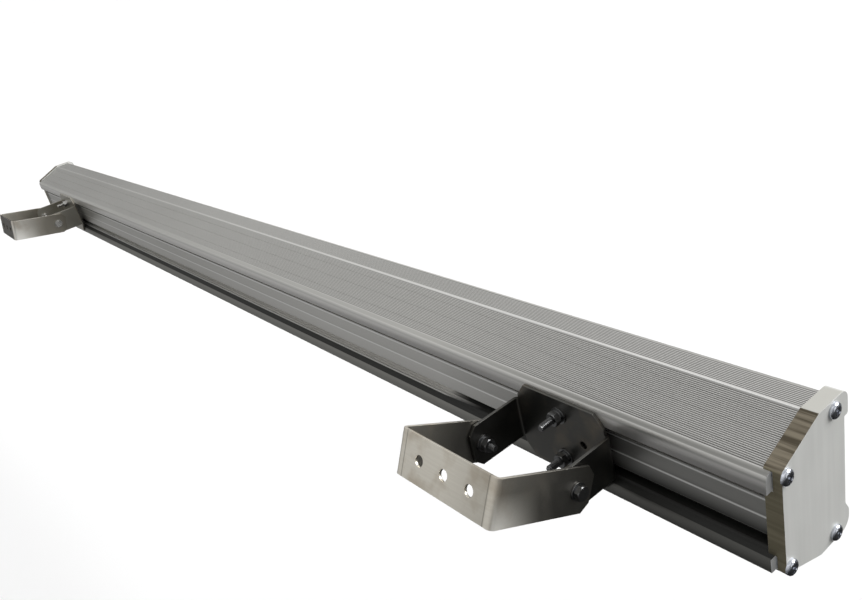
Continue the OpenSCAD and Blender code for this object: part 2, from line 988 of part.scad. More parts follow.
housing_profile();
glass_cover();
glass_seals();
led_board();
led_chips();
lenses();
lens_holders();
board_screws();
driver_pad();
driver_board();
driver_capacitors();
driver_transformer();
driver_terminal();
right_end_cap();
left_end_cap();
right_cap_gasket();
left_cap_gasket();
right_cap_screws();
left_cap_screws();
gland_body();
gland_ring();
gland_seal();
gland_nut();
on_right() slide_plate();  // right_slide_plate
on_right() slot_bolts();  // right_slot_bolts
on_right() slot_washers();  // right_slot_washers
on_right() slot_springs();  // right_slot_springs
on_right() slot_nuts();  // right_slot_nuts
on_right() yoke(right_tilt);  // right_yoke
on_right() pivot_bolts();  // right_pivot_bolts
on_right() pivot_washers();  // right_pivot_washers
on_right() pivot_springs();  // right_pivot_springs
on_right() pivot_nuts();  // right_pivot_nuts
on_right() pivot_spacers();  // right_pivot_spacers
on_left() slide_plate();  // left_slide_plate
on_left() slot_bolts();  // left_slot_bolts
on_left() slot_washers();  // left_slot_washers
on_left() slot_springs();  // left_slot_springs
on_left() slot_nuts();  // left_slot_nuts
on_left() yoke(left_tilt);  // left_yoke
on_left() pivot_bolts();  // left_pivot_bolts
on_left() pivot_washers();  // left_pivot_washers
on_left() pivot_springs();  // left_pivot_springs
on_left() pivot_nuts();  // left_pivot_nuts
on_left() pivot_spacers();  // left_pivot_spacers
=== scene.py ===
# %% [markdown]
# A long wall washer light, seen from behind. The solid parts come ready made from the
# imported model, in metres, each at its own place. This lesson dresses them: it rounds the
# edges that catch light, cuts the threads, gives each finish its own surface and lights it.

# %% Load the parts
import bpy
import json
import math
from mathutils import Matrix, Vector


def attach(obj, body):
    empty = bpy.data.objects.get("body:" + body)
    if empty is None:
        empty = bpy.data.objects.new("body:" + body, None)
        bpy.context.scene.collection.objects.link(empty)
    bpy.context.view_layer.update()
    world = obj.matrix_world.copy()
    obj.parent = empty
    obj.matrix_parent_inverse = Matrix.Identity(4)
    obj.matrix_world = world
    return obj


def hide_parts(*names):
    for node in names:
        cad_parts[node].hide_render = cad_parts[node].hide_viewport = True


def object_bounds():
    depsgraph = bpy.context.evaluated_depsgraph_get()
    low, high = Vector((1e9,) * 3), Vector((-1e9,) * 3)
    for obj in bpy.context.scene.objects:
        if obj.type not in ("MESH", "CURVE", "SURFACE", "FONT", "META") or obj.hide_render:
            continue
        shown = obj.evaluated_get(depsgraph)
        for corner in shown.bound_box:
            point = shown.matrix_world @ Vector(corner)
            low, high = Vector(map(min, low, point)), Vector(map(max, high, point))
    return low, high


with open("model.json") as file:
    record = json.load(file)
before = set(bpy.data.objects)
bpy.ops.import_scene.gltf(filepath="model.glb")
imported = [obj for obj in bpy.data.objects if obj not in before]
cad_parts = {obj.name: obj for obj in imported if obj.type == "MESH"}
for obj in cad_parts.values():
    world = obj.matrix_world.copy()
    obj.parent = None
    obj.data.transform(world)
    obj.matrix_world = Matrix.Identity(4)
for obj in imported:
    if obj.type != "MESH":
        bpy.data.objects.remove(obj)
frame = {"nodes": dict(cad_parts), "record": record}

cad_box = [list(corner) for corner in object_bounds()]
print("parts:", len(frame["nodes"]), "box:", cad_box)

# %% [markdown]
# The camera comes first. It could be placed by eye, but a long bar shows every degree of
# error. So its place and turn were worked out from edges of the light that can be measured
# in the photograph, and the bar runs to the same vanishing point.

# %% Camera at the photograph's place
PHOTO_WIDTH = 862
FOCAL_PIXELS = 830.92
SENSOR = 36
camera_right = Vector((0.61353, 0.75827, -0.22047))
camera_down = Vector((0.21047, -0.42612, -0.87984))
camera_forward = Vector((-0.76110, 0.49341, -0.42103))
camera_place = Vector((0.63012, -0.17824, 0.22313))

camera_data = bpy.data.cameras.new("camera")
camera_data.sensor_width = SENSOR
camera_data.lens = FOCAL_PIXELS / PHOTO_WIDTH * SENSOR
camera_data.clip_start = 0.01
camera_data.clip_end = 200
camera = bpy.data.objects.new("camera", camera_data)
bpy.context.scene.collection.objects.link(camera)
turn = Matrix((camera_right, -camera_down, -camera_forward)).transposed()
camera.matrix_world = Matrix.Translation(camera_place) @ turn.to_4x4()
bpy.context.scene.camera = camera
print("lens:", round(camera_data.lens, 2), "mm")

# %% [markdown]
# Shader maths reads best as plain sums. A small class wraps a socket, and its operators
# add Math nodes. One method of a tree makes every other node, and a sheet is the tree of
# one material.

# %% A socket that can be added and multiplied
class Wire:
    def __init__(self, tree, socket):
        self.tree = tree
        self.socket = socket

    def join(self, operation, first, second):
        maths = self.tree.nodes.new("ShaderNodeMath")
        maths.operation = operation
        for slot, value in zip(maths.inputs, (first, second)):
            if isinstance(value, Wire):
                self.tree.links.new(value.socket, slot)
            else:
                slot.default_value = value
        return Wire(self.tree, maths.outputs[0])

    def __add__(self, other):
        return self.join("ADD", self, other)

    def __radd__(self, other):
        return self.join("ADD", other, self)

    def __sub__(self, other):
        return self.join("SUBTRACT", self, other)

    def __rsub__(self, other):
        return self.join("SUBTRACT", other, self)

    def __mul__(self, other):
        return self.join("MULTIPLY", self, other)

    def __rmul__(self, other):
        return self.join("MULTIPLY", other, self)

    def __pow__(self, other):
        return self.join("POWER", self, other)


print("wires ready")


# %% A tree of nodes, and a material made on one
def fill_ramp(ramp, stops):
    while len(ramp.elements) < len(stops):
        ramp.elements.new(0.5)
    for element, (place, colour) in zip(ramp.elements, stops):
        element.position = place
        element.color = colour if len(colour) == 4 else (*colour, 1)


class Tree:
    def __init__(self, tree):
        self.tree = tree

    def node(self, kind, settings=None, inputs=None, output=0):
        made = self.tree.nodes.new("ShaderNode" + kind)
        for key, value in (settings or {}).items():
            if key == "stops":
                fill_ramp(made.color_ramp, value)
            else:
                setattr(made, key, value)
        for key, value in (inputs or {}).items():
            self.feed(made.inputs[key], value)
        return Wire(self.tree, made.outputs[output])

    def feed(self, slot, value):
        if isinstance(value, Wire):
            self.tree.links.new(value.socket, slot)
        else:
            slot.default_value = value


class Sheet(Tree):
    def __init__(self, name):
        self.material = bpy.data.materials.new(name)
        self.material.use_nodes = True
        super().__init__(self.material.node_tree)

    def finish(self, **inputs):
        surface = self.tree.nodes["Principled BSDF"]
        for key, value in inputs.items():
            self.feed(surface.inputs[key.replace("_", " ")], value)
        print(self.material.name, "has", len(self.tree.nodes), "nodes")
        return self.material


# %% Patterns that many finishes share
def stretched_noise(sheet, scale, detail, roughness=0.5):
    place = sheet.node("TexCoord", output="Object")
    mapped = sheet.node("Mapping", None, {"Vector": place, "Scale": scale})
    inputs = {"Vector": mapped, "Scale": 1.0, "Detail": detail, "Roughness": roughness}
    return sheet.node("TexNoise", None, inputs)


def ramp(sheet, value, stops):
    return sheet.node("ValToRGB", {"stops": stops}, {"Fac": value})


def mixed(sheet, share, first, second):
    inputs = {0: share, 6: first, 7: second}
    return sheet.node("Mix", {"data_type": "RGBA"}, inputs, output=2)


def bumped(sheet, height, depth, strength):
    inputs = {"Height": height, "Distance": depth, "Strength": strength}
    return sheet.node("Bump", None, inputs)


def along_axis(sheet, axis, of="Object"):
    whole = sheet.node("TexCoord", output=of)
    return sheet.node("SeparateXYZ", None, {"Vector": whole}, output=axis)


def distance_from(wire, spot):
    gap = wire - spot
    return gap.join("ABSOLUTE", gap, 0.0)


def mask(sheet, value, low, high):
    return sheet.node("MapRange", None, {
        "Value": value, "From Min": low, "From Max": high, "To Min": 0.0, "To Max": 1.0,
    })


def grey(value):
    return (value, value, value, 1)


print("middle grey:", grey(0.5))

# %% [markdown]
# The housing is extruded and anodised. The die leaves soft lines along its length, and
# handling leaves smudges, so one noise is stretched along X and a coarse one shifts the
# roughness and the tone. A painted picture could hold the marks, but it would have to be
# drawn. Here the painted light and shade follow the shape: the place of a point and the way
# it faces say which rib, edge or groove it belongs to, and each of those becomes a mask from
# 0 to 1.

# %% Places on the housing, in metres
LIP_Y, LIP_Z = 0.0255, 0.0218
RIDGE_Y, RIDGE_Z = 0.0535, 0.0332
SLOPE = math.atan2(RIDGE_Z - LIP_Z, RIDGE_Y - LIP_Y)
RIBS_FROM, RIBS_TO = 0.0284, 0.0661
VALLEY_DEPTH = (0.00002, 0.00008)
INSIDE_DEPTH = (0.00045, 0.00060)
OUTER_Y = 0.0262
SLOT_Y = 0.0300
WALL_Y = 0.0306
GROOVE_Y = 0.0350
LIP_ROUND_Z = (0.0190, 0.0202)
LIP_LOW_Z = 0.0138
WALL_HIGHLIGHT_Z = (0.0076, -0.0009, -0.0091)
SLOT_LOW_Z, SLOT_TOP_Z = -0.0140, -0.0086
SHADE_TOP_Z, SHADE_RISE = -0.0148, 0.0168
FLANGE_TOP_Z = -0.0161
FAR_FROM, MIDDLE_TO = -0.50, 0.10
CONTRAST_FROM = -0.10
NEAR_FROM, NEAR_TO = 0.30, 0.42
SOFT = 0.0002
print("slope of the ribbed face:", round(math.degrees(SLOPE), 1), "degrees")


# %% Where a point lies and how it faces
class Spot:
    def __init__(self, sheet):
        self.x, self.y, self.z = (along_axis(sheet, axis) for axis in "XYZ")
        sideways = distance_from(along_axis(sheet, "X", of="Normal"), 0.0)
        self.end_face = mask(sheet, sideways, 0.5, 0.9)
        self.facing_up = mask(sheet, along_axis(sheet, "Z", of="Normal"), 0.93, 0.97)
        self.near_end = mask(sheet, self.x, NEAR_FROM, NEAR_TO) * (1 - self.end_face)
        # The ribs' painted highlight and shade are weak at the left end and grow towards the
        # right.
        self.painted_contrast = 0.25 + mask(sheet, self.x, CONTRAST_FROM, NEAR_FROM) * 0.60


def between(sheet, value, low, high):
    return mask(sheet, value, low - SOFT, low) * (1 - mask(sheet, value, high, high + SOFT))


print("near end from", NEAR_FROM, "m, fully from", NEAR_TO, "m")

# %% [markdown]
# The ribs are grooves cut between flat crests, 0.35 mm deep. A point lies in a groove when
# it is under the flat face that the crests share, so the depth under the slope or the top
# face, whichever is less, is the mask. The crests get a painted highlight and the grooves
# painted shade, most of all near the right end: towards the left the photograph shows less
# and less of them. Near the right end the upward faces get more painted highlight. The
# ridge between the two ribbed faces gets a painted highlight, a thin bright line.

# %% Ribs and ridge
# Painted highlight on the crests and near-end tops, painted shade in the grooves, and a painted
# highlight line.
CREST_HIGHLIGHT = (0.90, 0.89, 0.87, 1)
VALLEY_SHADE = (0.080, 0.079, 0.075, 1)
PAINTED_HIGHLIGHT = (0.88, 0.88, 0.86, 1)


def in_valleys(sheet, spot):
    along, up = spot.y - LIP_Y, spot.z - LIP_Z
    under_slope = along * math.sin(SLOPE) - up * math.cos(SLOPE)
    under_top = RIDGE_Z - spot.z
    depth = under_slope.join("MINIMUM", under_slope, under_top)
    valley = mask(sheet, depth, *VALLEY_DEPTH) * (1 - mask(sheet, depth, *INSIDE_DEPTH))
    return valley * between(sheet, spot.y, RIBS_FROM, RIBS_TO)


def ribbed_layers(sheet, spot):
    ribbed = between(sheet, spot.y, RIBS_FROM, RIBS_TO)
    return [
        (ribbed * (spot.painted_contrast * 0.33 + spot.near_end * spot.facing_up * 0.4), CREST_HIGHLIGHT),
        (in_valleys(sheet, spot) * spot.painted_contrast * 0.9, VALLEY_SHADE),
    ]


# The ridge's bright line is a painted highlight.
def ridge_layer(sheet, spot):
    beside = 1 - mask(sheet, distance_from(spot.y, RIDGE_Y), SOFT, 0.0006)
    ridge = beside * mask(sheet, spot.z, RIDGE_Z - 0.0007, RIDGE_Z - 0.0004)
    return (ridge * (spot.painted_contrast + 0.15), PAINTED_HIGHLIGHT)


print("ribs from", RIBS_FROM, "to", RIBS_TO, "m")

# %% [markdown]
# The back has a lip above, a flange below and a wall between them with two slots. The lip
# gets a painted highlight and the flange painted shade. Three thin bright lines along the
# wall are painted highlights on its edges. The lower slot gets painted light inside, apart
# from the right end. Painted shade fills the groove behind the flange, and near the right
# end it climbs the wall. All of these follow the height and the depth of a point, so a few
# masks on Z and Y are enough.

# %% Lip, flange, slots and painted light and shade
# The lip's bright tone is a painted highlight, the flange's dull one painted shade.
LIP_HIGHLIGHT = (0.92, 0.91, 0.88, 1)
FLANGE_SHADE = (0.160, 0.158, 0.144, 1)
# Painted light inside the lower slot, whose depth lies in shade.
SLOT_PAINTED_LIGHT = (0.95, 0.94, 0.91, 1)
CUT_END = (0.88, 0.89, 0.90, 1)


def lip_and_flange(sheet, spot):
    outermost = 1 - mask(sheet, spot.y, OUTER_Y, OUTER_Y + SOFT)
    rounding = mask(sheet, spot.z, *LIP_ROUND_Z)
    above = mask(sheet, spot.z, LIP_LOW_Z - 2 * SOFT, LIP_LOW_Z)
    below = 1 - mask(sheet, spot.z, FLANGE_TOP_Z, FLANGE_TOP_Z + 2 * SOFT)
    return outermost * above * (1 - rounding * 0.6), outermost * below


def back_layers(sheet, spot, lip, flange):
    deep = mask(sheet, spot.y, SLOT_Y, SLOT_Y + 2 * SOFT)
    in_slot = between(sheet, spot.z, SLOT_LOW_Z, SLOT_TOP_Z) * deep
    return [
        (lip, LIP_HIGHLIGHT),
        (flange * 0.85, FLANGE_SHADE),
        (in_slot * (1 - spot.near_end), SLOT_PAINTED_LIGHT),
        (spot.end_face, CUT_END),
    ]


# Three thin painted highlights along the wall's edges.
def wall_line_highlights(sheet, spot):
    lines = 0.0
    for line in WALL_HIGHLIGHT_Z:
        lines = lines + (1 - mask(sheet, distance_from(spot.z, line), 0.0003, 0.0006))
    return lines


# Painted shade in the groove behind the flange, darkest at the bottom; near the right end it
# climbs the wall.
def groove_shade_mask(sheet, spot):
    fade = 1 - mask(sheet, spot.z, FLANGE_TOP_Z, SHADE_TOP_Z + spot.near_end * SHADE_RISE)
    above = mask(sheet, spot.z, FLANGE_TOP_Z - 2 * SOFT, FLANGE_TOP_Z - SOFT)
    groove = between(sheet, spot.y, OUTER_Y, GROOVE_Y) * above * (1 - spot.end_face)
    return groove * mask(sheet, fade, 0.0, 0.6)


print("edges along the wall:", len(WALL_HIGHLIGHT_Z))

# %% [markdown]
# The layers are laid over the bare metal one by one, each with its own colour, as a painter
# glazes. One of them is painted shade: it darkens what turns away from the light near the
# right end, and the upward face near the left end. The painted shade in the groove and the
# cut ends are less metallic than the rest.

# %% Anodised aluminium
BARE = [(0.30, (0.522, 0.517, 0.488)), (0.70, (0.576, 0.571, 0.542))]
PAINTED_SHADE = (0.060, 0.060, 0.056, 1)
# Near black painted shade for the groove behind the flange.
GROOVE_SHADE = (0.014, 0.014, 0.012, 1)


# Painted shade: near the right end on faces turned from the light, less on the lip, and on the far
# upward face.
def shade_layer(sheet, spot, lip, flange, recessed):
    turned = (1 - spot.facing_up) * 0.38 + recessed * 0.10 + flange * 0.38 - lip * 0.32
    far_top = spot.facing_up * (1 - mask(sheet, spot.x, FAR_FROM, MIDDLE_TO)) * 0.35
    return (spot.near_end * turned + far_top, PAINTED_SHADE)


def anodised():
    sheet = Sheet("anodised_aluminium")
    spot = Spot(sheet)
    die_lines = stretched_noise(sheet, (3.0, 260.0, 260.0), 1.0)
    smudges = stretched_noise(sheet, (6.0, 22.0, 22.0), 3.0)
    lip, flange = lip_and_flange(sheet, spot)
    recessed = between(sheet, spot.y, OUTER_Y + SOFT, WALL_Y)
    line_highlights = wall_line_highlights(sheet, spot)
    groove_shade = groove_shade_mask(sheet, spot)
    tone = ramp(sheet, die_lines * 0.2 + smudges * 0.8, BARE)
    for share, colour in [
        *ribbed_layers(sheet, spot),
        *back_layers(sheet, spot, lip, flange),
        ridge_layer(sheet, spot),
        shade_layer(sheet, spot, lip, flange, recessed),
        (line_highlights * recessed, PAINTED_HIGHLIGHT),
        (groove_shade * (1 - line_highlights * 0.6), GROOVE_SHADE),
    ]:
        tone = mixed(sheet, share, tone, colour)
    return sheet.finish(
        Base_Color=tone,
        Metallic=0.82 - groove_shade * 0.6 - spot.end_face * 0.7,
        Roughness=0.32 + smudges * 0.12 + groove_shade * 0.2,
        Normal=bumped(sheet, smudges, 0.00001, 0.4),
    )


housing_finish = anodised()

# %% [markdown]
# The end caps are cast and blasted, so their faces are light and dull with faint streaks
# from top to bottom. Their rims are cut afterwards: bare, browner metal with tool marks
# along the light's length. Only rims that look backwards get it, so their dark tone is
# partly painted shade; faces that look straight back are lightened with painted light, and
# upward faces darkened with painted shade. Two materials could share a cap, but a cap is
# one piece of metal, so the direction that a face looks in tells the two apart.

# %% Cast cap
CAP_FACE = [(0.35, (0.630, 0.634, 0.612)), (0.65, (0.690, 0.694, 0.670))]
# Backward rims: cut metal darkened with painted shade; straight-back faces painted light; upward
# faces painted shade.
CUT_RIM_AND_SHADE = [(0.40, (0.110, 0.093, 0.066)), (0.60, (0.300, 0.264, 0.200))]
RIM_BACK_LIGHT = (0.330, 0.300, 0.205, 1)
CAP_TOP_SHADE = (0.530, 0.525, 0.485, 1)


def cast_cap():
    sheet = Sheet("cast_cap")
    streaks = stretched_noise(sheet, (60.0, 260.0, 14.0), 3.0)
    clouds = stretched_noise(sheet, (45.0, 45.0, 45.0), 4.0)
    marks = stretched_noise(sheet, (18.0, 430.0, 430.0), 4.0, roughness=0.6)
    sideways = distance_from(along_axis(sheet, "X", of="Normal"), 0.0)
    facing_y = along_axis(sheet, "Y", of="Normal")
    backward = 1 - mask(sheet, facing_y, -0.33, -0.15)
    straight_back = 1 - mask(sheet, facing_y, -0.95, -0.70)
    upward = mask(sheet, along_axis(sheet, "Z", of="Normal"), 0.95, 0.99)
    # Only rims that look backwards get the dark cut tone, which is partly painted shade.
    rim = backward * (1 - mask(sheet, sideways, 0.35, 0.75))
    face = ramp(sheet, streaks * 0.6 + clouds * 0.4, CAP_FACE)
    top_shaded = mixed(sheet, upward, face, CAP_TOP_SHADE)
    cut = mixed(sheet, straight_back * 0.6, ramp(sheet, marks, CUT_RIM_AND_SHADE), RIM_BACK_LIGHT)
    return sheet.finish(
        Base_Color=mixed(sheet, rim, top_shaded, cut),
        Metallic=0.20 + rim * 0.70,
        Roughness=0.46 + clouds * 0.12,
        Normal=bumped(sheet, clouds * 0.3 + marks * rim, 0.00003, 0.5),
    )


cap_finish = cast_cap()

# %% [markdown]
# The brackets are folded from brushed stainless sheet. Brush lines run along the foot and
# the arms, and faint brown stains lie on them. An arm gets painted shade that grows from its
# bend towards the bolt, so its tone follows the distance from the tilt axis, which is the
# same wherever the yoke is tilted. A thin dark line lies beside each bend, the foot gets a
# brown painted shade, over all of the left foot and towards the right side of each, and the
# lower outer side of each arm gets a pale painted highlight.

# %% Brushed stainless steel
BEND_LINE = 0.0258
ARM_OUTSIDE = (0.0296, 0.0300)
HALF_FOOT = 0.030
ARM_REACH = (0.014, 0.043)
FOOT_REACH = (0.043, 0.045)
HIGHLIGHT_REACH = (0.022, 0.042)
HIGHLIGHT_SIDE = (-0.004, 0.009)
STAIN = (0.42, 0.33, 0.22, 1)
FOOT_SHADE = (0.085, 0.075, 0.058, 1)
PALE_HIGHLIGHT = (0.88, 0.87, 0.82, 1)
BESIDE_BEND_DARK = (0.20, 0.18, 0.15, 1)


# Where the pale painted highlight lies: the lower outer side of each arm.
def highlight_mask(sheet, off_middle, reach, lean):
    y, z = along_axis(sheet, "Y"), along_axis(sheet, "Z")
    low_side = 0.0 - y * math.sin(lean) - z * math.cos(lean)
    outside = mask(sheet, off_middle, *ARM_OUTSIDE)
    return outside * mask(sheet, low_side, *HIGHLIGHT_SIDE) * mask(sheet, reach, *HIGHLIGHT_REACH)


def stainless(name, middle, bright, dark, near_axis_shade, foot_shade=0.0, lean=0.0, highlight=0.0):
    sheet = Sheet(name)
    x, y, z = (along_axis(sheet, axis) for axis in "XYZ")
    brush = stretched_noise(sheet, (60.0, 500.0, 1400.0), 4.0, roughness=0.6)
    stains = stretched_noise(sheet, (70.0, 90.0, 60.0), 3.0, roughness=0.55)
    spread = ramp(sheet, stains, [(0.48, grey(0.0)), (0.66, grey(1.0))])
    reach = (y * y + z * z) ** 0.5
    off_middle = distance_from(x, middle)
    # Away from the tilt axis; nearer to it an arm gets painted shade.
    off_axis = mask(sheet, reach, *ARM_REACH)
    at_foot = mask(sheet, reach, *FOOT_REACH)
    foot = (1 - mask(sheet, off_middle, BEND_LINE, BEND_LINE + 0.001)) * at_foot
    # The foot's brown tone is painted shade, darker towards its right side.
    foot_shade_fade = mask(sheet, x, middle, middle + HALF_FOOT) * 0.30
    # A pale painted highlight, less metallic so that it catches the lamp.
    highlighted = highlight_mask(sheet, off_middle, reach, lean) * highlight
    off_line = distance_from(off_middle, BEND_LINE)
    beside_bend = (1 - mask(sheet, off_line, 0.0001, 0.0004)) * at_foot
    tone = mixed(sheet, brush * 0.6, bright, dark)
    for share, colour in [
        ((1 - off_axis) * 0.9, near_axis_shade),
        (spread * off_axis * 0.40, STAIN),
        (foot * (foot_shade + foot_shade_fade), FOOT_SHADE),
        (highlighted, PALE_HIGHLIGHT),
        (beside_bend * 0.6, BESIDE_BEND_DARK),
    ]:
        tone = mixed(sheet, share, tone, colour)
    return sheet.finish(
        Base_Color=tone,
        Metallic=0.95 - highlighted * 0.85,
        Roughness=0.24 + brush * 0.14 + spread * 0.08,
        Normal=bumped(sheet, brush, 0.00002, 0.4),
    )


# %% [markdown]
# The two brackets are one steel, painted as a shaded and a lit copy: the right one has dark
# painted shade near the bolt and its plate painted almost black, while the left one is
# lighter, with painted shade all over its foot. A plate has no foot, so its middle is given
# as 0, far from both plates, which leaves out the foot's painted shade and the dark lines
# beside the bends.

# %% Steel of the yokes and plates
bracket_x = {"right": 0.396, "left": -0.377}
yoke_finish = {
    "right": stainless(
        "right_yoke_steel", middle=bracket_x["right"], bright=(0.90, 0.860, 0.760, 1),
        dark=(0.62, 0.585, 0.51, 1), near_axis_shade=(0.22, 0.213, 0.195, 1),
        lean=math.radians(27.4), highlight=0.65,
    ),
    "left": stainless(
        "left_yoke_steel", middle=bracket_x["left"], bright=(0.96, 0.93, 0.86, 1),
        dark=(0.72, 0.69, 0.62, 1), near_axis_shade=(0.34, 0.315, 0.26, 1),
        foot_shade=1.0, lean=math.radians(11.8), highlight=1.0,
    ),
}
# The right plate is painted as shaded steel, the left one as lit steel.
plate_finish = {
    "right": stainless(
        "right_plate_steel", middle=0, bright=(0.165, 0.163, 0.153, 1),
        dark=(0.105, 0.103, 0.096, 1), near_axis_shade=(0.085, 0.084, 0.078, 1),
    ),
    "left": stainless(
        "left_plate_steel", middle=0, bright=(0.50, 0.49, 0.44, 1),
        dark=(0.38, 0.37, 0.33, 1), near_axis_shade=(0.50, 0.48, 0.42, 1),
    ),
}

# %% [markdown]
# Zinc plate is fine grained, so a small blotchy noise moves its tone and roughness. Rubber,
# plastic and glass share one recipe, with a fine speckle in their tone and gloss, which
# keeps them from looking like flat paint. Each could have its own, but all of them are
# small or lie inside the housing.

# %% Zinc and the small finishes
def zinc(name, tone, rough):
    sheet = Sheet(name)
    blotch = stretched_noise(sheet, (900.0, 900.0, 900.0), 3.0)
    low = tuple(0.82 * c for c in tone)
    return sheet.finish(
        Base_Color=ramp(sheet, blotch, [(0.35, low), (0.65, tone)]),
        Metallic=1.0,
        Roughness=rough + blotch * 0.12,
        Normal=bumped(sheet, blotch, 0.00002, 0.3),
    )


def plain(name, tone, rough, speckle=0.10, transmission=0.0):
    sheet = Sheet(name)
    dots = stretched_noise(sheet, (700.0, 700.0, 700.0), 2.0)
    low = tuple(c * (1 - speckle) for c in tone)
    high = tuple(min(1.0, c * (1 + speckle)) for c in tone)
    return sheet.finish(
        Base_Color=ramp(sheet, dots, [(0.35, low), (0.65, high)]),
        Roughness=rough + dots * 0.10,
        Transmission_Weight=transmission,
        Normal=bumped(sheet, dots, 0.00002, 0.3),
    )


materials = {
    "housing_aluminium": housing_finish,
    "cap_grey": cap_finish,
    "yoke_steel": yoke_finish["right"],
    "plate_steel": plate_finish["right"],
    "zinc_steel": zinc("bright_zinc", (0.74, 0.77, 0.84), 0.07),
    "window_glass": plain("clear_glass", (0.93, 0.97, 0.96), 0.02, speckle=0.01, transmission=1.0),
    "seal_rubber": plain("seal_rubber", (0.030, 0.030, 0.030), 0.62),
    "board_white": plain("board_white", (0.80, 0.80, 0.78), 0.35, speckle=0.03),
    "chip_yellow": plain("chip_phosphor", (0.85, 0.68, 0.16), 0.30),
    "lens_clear": plain("clear_lens", (0.95, 0.97, 0.98), 0.03, speckle=0.01, transmission=1.0),
    "holder_black": plain("lens_holder_black", (0.018, 0.018, 0.018), 0.42),
    "pad_grey": plain("heat_pad", (0.33, 0.42, 0.50), 0.75),
    "board_green": plain("driver_board_green", (0.020, 0.130, 0.060), 0.30),
    "capacitor_blue": plain("capacitor_sleeve", (0.012, 0.018, 0.070), 0.25),
    "transformer_yellow": plain("transformer_tape", (0.55, 0.42, 0.06), 0.38),
    "terminal_green": plain("terminal_green", (0.025, 0.210, 0.080), 0.32),
    "gland_black": plain("gland_nylon", (0.016, 0.016, 0.018), 0.36),
    "gland_rubber": plain("gland_rubber", (0.028, 0.028, 0.028), 0.66),
}
# The bolts of both brackets are one zinc, painted as a shaded copy on the right and a lit copy on
# the left.
bolt_finish = {
    "right": zinc("shaded_zinc", (0.235, 0.237, 0.240), 0.24),
    "left": zinc("lit_zinc", (0.620, 0.615, 0.590), 0.20),
}
print("materials:", len(bpy.data.materials))

# %% [markdown]
# The record names a finish for every part. The parts could be dressed by hand, but a loop
# over the record can't miss one, and the hidden ones inside the housing are dressed too.

# %% Give every part its finish
slot_of = {row["node"]: row["material_slot"] for row in frame["record"]["subparts"]}
for node, slot in slot_of.items():
    shape = frame["nodes"][node]
    if not shape.material_slots:
        shape.data.materials.append(materials[slot])
    for material_slot in shape.material_slots:
        material_slot.material = materials[slot]
print("dressed:", len(slot_of))

# %% [markdown]
# A solid from a machine drawing has razor edges, but a real edge is always a little
# round and shows as a thin bright line. A shader could fake that, but the shape itself
# would stay sharp. So each folded, cast or turned part is copied, its flat faces are made
# whole, and a narrow bevel softens its edges. The housing keeps its fine ribs unbevelled.

# %% Tools for shaping a copy
def nothing_selected():
    bpy.ops.object.select_all(action="DESELECT")


def alone(shape):
    nothing_selected()
    shape.select_set(True)
    bpy.context.view_layer.objects.active = shape


def apply(shape, modifier):
    alone(shape)
    bpy.ops.object.modifier_apply(modifier=modifier.name)


def round_edges(piece, width, segments=2, angle=28):
    bevel = piece.modifiers.new("soft_edges", "BEVEL")
    bevel.width = width
    bevel.segments = segments
    bevel.limit_method = "ANGLE"
    bevel.angle_limit = math.radians(angle)
    apply(piece, bevel)


def finish_shading(piece):
    alone(piece)
    bpy.ops.object.shade_smooth_by_angle(angle=math.radians(32))
    weighted = piece.modifiers.new("even_shading", "WEIGHTED_NORMAL")
    weighted.keep_sharp = True
    apply(piece, weighted)


# %% [markdown]
# A new piece stands where a machine-drawn part was. It rides on the same body, so that it
# slides or tilts with it, and the part that it replaces is hidden.

# %% A piece takes the place of a part
def body_of(node):
    for body, nodes in frame["record"]["behaviour"]["bodies"].items():
        if node in nodes:
            return body


def stands_for(piece, node, finish):
    piece.data.materials.clear()
    piece.data.materials.append(finish)
    finish_shading(piece)
    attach(piece, body_of(node))
    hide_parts(node)
    print(piece.name, len(piece.data.polygons), "faces")


print("the right yoke rides on", body_of("right_yoke"))

# %% Softened copies
SAME_POINT = 0.000005
STILL_FLAT = math.radians(0.5)
CAP_EDGE = 0.0011
SHEET_EDGE = 0.0002
SMALL_EDGE = 0.0001


def softened(node, name, finish, width, segments=2):
    alone(frame["nodes"][node])
    bpy.ops.object.duplicate()
    copy = bpy.context.active_object
    copy.name = name
    copy.data.name = name
    bpy.ops.object.mode_set(mode="EDIT")
    bpy.ops.mesh.select_all(action="SELECT")
    bpy.ops.mesh.remove_doubles(threshold=SAME_POINT)
    bpy.ops.mesh.dissolve_limited(angle_limit=STILL_FLAT)
    bpy.ops.object.mode_set(mode="OBJECT")
    if width:
        round_edges(copy, width, segments)
    stands_for(copy, node, finish)


softened("housing_profile", "housing_soft", housing_finish, 0.0)
for side in ("right", "left"):
    softened(side + "_end_cap", side + "_cap_soft", cap_finish, CAP_EDGE, segments=1)
    softened(side + "_yoke", side + "_yoke_soft", yoke_finish[side], SHEET_EDGE)
    softened(side + "_slide_plate", side + "_plate_soft", plate_finish[side], SHEET_EDGE)
    screws = side + "_cap_screws"
    softened(screws, screws + "_soft", materials["zinc_steel"], SMALL_EDGE)
    for small in ("slot_washers", "slot_springs", "pivot_washers", "pivot_springs"):
        node = side + "_" + small
        softened(node, node + "_soft", bolt_finish[side], SMALL_EDGE)

# %% [markdown]
# A hexagon nut starts as a six-sided bar. Bevelling its corners would leave flat cuts, but
# a lathe leaves curved ones. So a turned disc with sloping rims is intersected with the
# bar, which takes off the six corners as the lathe does, and a drill makes the bore.

# %% Hexagons
NUT_WIDTH = 0.0062
NUT_HEIGHT = 0.003
HEAD_HEIGHT = 0.0026
BOLT_RADIUS = 0.0018
NUT_BORE = 0.00185
RIM_SLOPE = 0.00045
DRILL_SPARE = 0.001
ROUND_SIDES = 32
DISC_SIDES = 48
CORNER = NUT_WIDTH / 2 / math.cos(math.radians(30))


